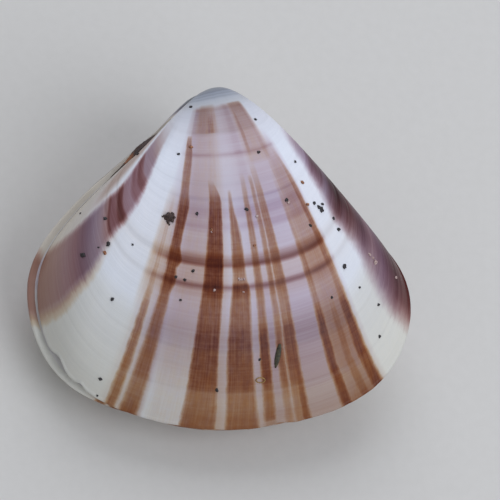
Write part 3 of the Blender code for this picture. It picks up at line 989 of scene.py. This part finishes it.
# Pale specks: partly pale sand grains, partly painted glints where the glossy shell catches the light.
PALE_GRAINS_AND_GLINTS = [
    (374.7, 261.8, 4.6), (372.4, 257.4, 2.6), (369, 254, 2.8), (395.5, 277, 2.8),
    (213.8, 289.7, 2.6), (211, 231.6, 1.8), (256.5, 215.7, 2.6), (243, 291.6, 2.0),
    (238.6, 278.4, 2.6), (241, 278.8, 2.8), (243.6, 278.6, 2.4), (288.4, 202, 3.0),
]
GRAIN_SINK = 0.30    # share of a grain's width that is sunk in the shell
GRAIN_FLATNESS = 0.72
GRAIN_STRETCH = (1.12, 0.92, GRAIN_FLATNESS)
GRAIN_BUMPS = (0.55, 0.22, 0.12)    # large and small bumps and facets, as shares of the radius
GRAIN_CELLS = (1.1, 2.9, 1.4)
SLIVER_PIXELS = [
    (279.4, 343.4), (278.9, 348), (278, 353.5), (276.9, 359), (275.8, 363.6), (274.9, 367.2),
]
SLIVER_WIDTHS = [2.0, 4.6, 5.4, 5.2, 3.6, 0.8]
SLIVER_THICKNESS = 0.13
SLIVER_LIFT = 0.6    # height of the sliver's middle, in thicknesses
SLIVER_RIDGE = 0.16
SLIVER_AROUND = 12
RING_PIXEL = (260.0, 379.6)
RING_SIZE = (4.4, 2.6)    # half length and half width in pixels
RING_WIRE = 0.065
RING_LIFT = 0.7    # height of the ring's middle, in wires
RING_UNEVEN = 0.35
RING_AROUND = 40
WIRE_AROUND = 8


def tree_of(piece):
    mesh = piece.data
    return BVHTree.FromPolygons([v.co for v in mesh.vertices], [tuple(p.vertices) for p in mesh.polygons])


CARRIERS = [tree_of(right_shell), tree_of(left_shell), tree_of(ligament)]


def landing(pixel):
    """The point of the shell that a pixel of the photograph shows, and the surface's normal there."""
    ray = view_direction(pixel)
    hits = [tree.ray_cast(EYE, ray) for tree in CARRIERS]
    point, normal, _, _ = min((hit for hit in hits if hit[0] is not None), key=lambda hit: hit[3])
    if normal.dot(ray) > 0.0:
        normal = -normal
    return point, normal


def add_grain(bm, pixel, width, seed):
    """One angular grain, lying flat on what carries it."""
    point, normal = landing(pixel)
    radius = 0.5 * width * PIXEL_MM * MM
    turn = normal.to_track_quat("Z", "Y").to_matrix()
    made = bmesh.ops.create_icosphere(bm, subdivisions=3, radius=1.0)["verts"]
    spin = Matrix.Rotation(seed * 1.7, 3, "Z")
    for vert in made:
        place = vert.co.copy()
        large = noise.noise(place * GRAIN_CELLS[0] + Vector((seed * 3.1, 0.0, 0.0)))
        small = noise.noise(place * GRAIN_CELLS[1] + Vector((0.0, seed * 2.3, 0.0)))
        facet = noise.cell(place * GRAIN_CELLS[2] + Vector((seed * 5.3, 1.0, 2.0)))
        place *= 1.0 + GRAIN_BUMPS[0] * large + GRAIN_BUMPS[1] * small + GRAIN_BUMPS[2] * facet
        place = spin @ (place * Vector(GRAIN_STRETCH))
        vert.co = point + turn @ (place * radius) + normal * radius * (GRAIN_FLATNESS - 2.0 * GRAIN_SINK)


def dirt_paint(name, dark, light, roughness, grain_scale=6000.0):
    """Mottled stone or soil: two colours in fine noise, with a rough surface."""
    paint = Paint(name)
    cloud = paint.noise(paint.object_place(), scale=grain_scale, detail=4.0, roughness=0.6)
    paint.show({
        "Base Color": paint.tones(cloud, [(0.35, dark), (0.68, light)]),
        "Roughness": paint.fit(cloud, 0.3, roughness),
    })
    paint.relief(cloud, 0.5, 0.00003)
    return paint.material


def add_dirt(name, bm, material):
    mesh = bpy.data.meshes.new(name)
    bmesh.ops.recalc_face_normals(bm, faces=bm.faces)
    bm.to_mesh(mesh)
    bm.free()
    mesh.shade_smooth()
    piece = add_object(mesh, material)
    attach(piece, "root")


def add_grains(name, grains, material, first_seed):
    bm = bmesh.new()
    for i, (x, y, width) in enumerate(grains):
        add_grain(bm, (x, y), width, first_seed + i)
    add_dirt(name, bm, material)


def add_tube(bm, rings, closed):
    """A tube through rings of points. It closes on itself or has a face at each end."""
    rings = [[bm.verts.new(point) for point in ring] for ring in rings]
    for near, far in zip(rings, rings[1:] + rings[:1] if closed else rings[1:]):
        for j in range(len(near)):
            after = (j + 1) % len(near)
            bm.faces.new((near[j], near[after], far[after], far[j]))
    if not closed:
        bm.faces.new(list(reversed(rings[0])))
        bm.faces.new(rings[-1])


def add_sliver():
    """A dark splinter of plant that lies along the shell."""
    thickness = SLIVER_THICKNESS * MM
    rings = []
    spots = [landing(pixel) for pixel in SLIVER_PIXELS]
    for i, (point, normal) in enumerate(spots):
        before, after = spots[max(i - 1, 0)][0], spots[min(i + 1, len(spots) - 1)][0]
        side = (after - before).cross(normal).normalized()
        half = 0.5 * SLIVER_WIDTHS[i] * PIXEL_MM * MM
        ring = []
        for j in range(SLIVER_AROUND):
            angle = math.tau * j / SLIVER_AROUND
            ridge = 1.0 + SLIVER_RIDGE * math.cos(3.0 * angle + 0.5)
            lift = normal * thickness * (SLIVER_LIFT + math.sin(angle) * ridge)
            ring.append(point + side * math.cos(angle) * half * ridge + lift)
        rings.append(ring)
    bm = bmesh.new()
    add_tube(bm, rings, False)
    add_dirt("plant_sliver", bm, dirt_paint("sliver_paint", (30, 27, 18), (84, 78, 52), 0.45, 3500.0))


def add_ring():
    """A thin yellow-brown ring that lies flat on the shell."""
    point, normal = landing(RING_PIXEL)
    turn = normal.to_track_quat("Z", "Y").to_matrix()
    centre = point + normal * RING_WIRE * MM * RING_LIFT
    rings = []
    for i in range(RING_AROUND):
        angle = math.tau * i / RING_AROUND
        outward = Vector((math.cos(angle), math.sin(angle), 0.0))
        middle = outward * Vector((*RING_SIZE, 0.0)) * PIXEL_MM
        wire = RING_WIRE * (1.0 + RING_UNEVEN * noise.noise((4.0 * outward.x, 4.0 * outward.y, 0.3)))
        ring = []
        for j in range(WIRE_AROUND):
            tip = math.tau * j / WIRE_AROUND
            place = middle + (outward * math.cos(tip) + Vector((0.0, 0.0, math.sin(tip)))) * wire
            ring.append(centre + turn @ (place * MM))
        rings.append(ring)
    bm = bmesh.new()
    add_tube(bm, rings, True)
    add_dirt("yellow_ring", bm, dirt_paint("ring_paint", (116, 84, 40), (176, 138, 78), 0.5, 5000.0))


clump_x, clump_y = CLUMP_PIXEL
clump_grains = [(clump_x + x, clump_y + y, width) for x, y, width in CLUMP_GRAINS]
black_stone = dirt_paint("black_grain_paint", (13, 11, 13), (58, 50, 50), 0.35)
clump_soil = dirt_paint("clump_paint", (24, 17, 17), (96, 72, 62), 0.55)
rusty_stone = dirt_paint("rusty_grain_paint", (96, 48, 24), (190, 132, 92), 0.4)
# The pale specks are partly painted glints.
pale_stone_and_glint = dirt_paint("pale_grain_and_glint_paint", (140, 104, 98), (214, 192, 184), 0.35)
add_grains("black_grains", BLACK_GRAINS, black_stone, 1)
add_grains("dirt_clump", clump_grains, clump_soil, 60)
add_grains("rusty_grains", RUSTY_GRAINS, rusty_stone, 80)
add_grains("pale_grains_and_glints", PALE_GRAINS_AND_GLINTS, pale_stone_and_glint, 100)
add_sliver()
add_ring()


# Floor and light

FLOOR_HALF = 1.5
FLOOR_TONES = [(0.3, 0.635, 0.61, 0.565), (0.7, 0.65, 0.625, 0.58)]
LIGHT_COLOUR = (0.86, 0.905, 1.0)    # soft daylight
LAMPS = [("key_light", (0.225, -0.225, 0.318), 1.16), ("back_light", (0.0, 0.318, 0.318), 1.03)]
LAMP_TARGET = Vector((0.0, 0.0, 0.01))
LAMP_SIZE = 0.45
SKY_STRENGTH = 0.37


def add_floor():
    bm = bmesh.new()
    bmesh.ops.create_grid(bm, x_segments=1, y_segments=1, size=FLOOR_HALF)
    mesh = bpy.data.meshes.new("studio_floor")
    bm.to_mesh(mesh)
    bm.free()
    paint = Paint("floor_paint")
    grain = paint.noise(paint.object_place(), scale=900.0, detail=3.0)
    paint.show({"Base Color": paint.ramp(grain, FLOOR_TONES), "Roughness": 0.9})
    add_object(mesh, paint.material)


def add_lamp(name, place, power):
    data = bpy.data.lights.new(name, "AREA")
    data.shape = "DISK"
    data.size = LAMP_SIZE
    data.energy = power
    data.color = LIGHT_COLOUR
    lamp = bpy.data.objects.new(name, data)
    lamp.location = place
    lamp.rotation_mode = "QUATERNION"
    lamp.rotation_quaternion = (LAMP_TARGET - Vector(place)).to_track_quat("-Z", "Y")
    scene.collection.objects.link(lamp)


add_floor()
for lamp in LAMPS:
    add_lamp(*lamp)
world = bpy.data.worlds.new("studio_world")
world.use_nodes = True
background = world.node_tree.nodes["Background"]
background.inputs["Color"].default_value = (*LIGHT_COLOUR, 1.0)
background.inputs["Strength"].default_value = SKY_STRENGTH
scene.world = world
scene.view_settings.view_transform = "Standard"
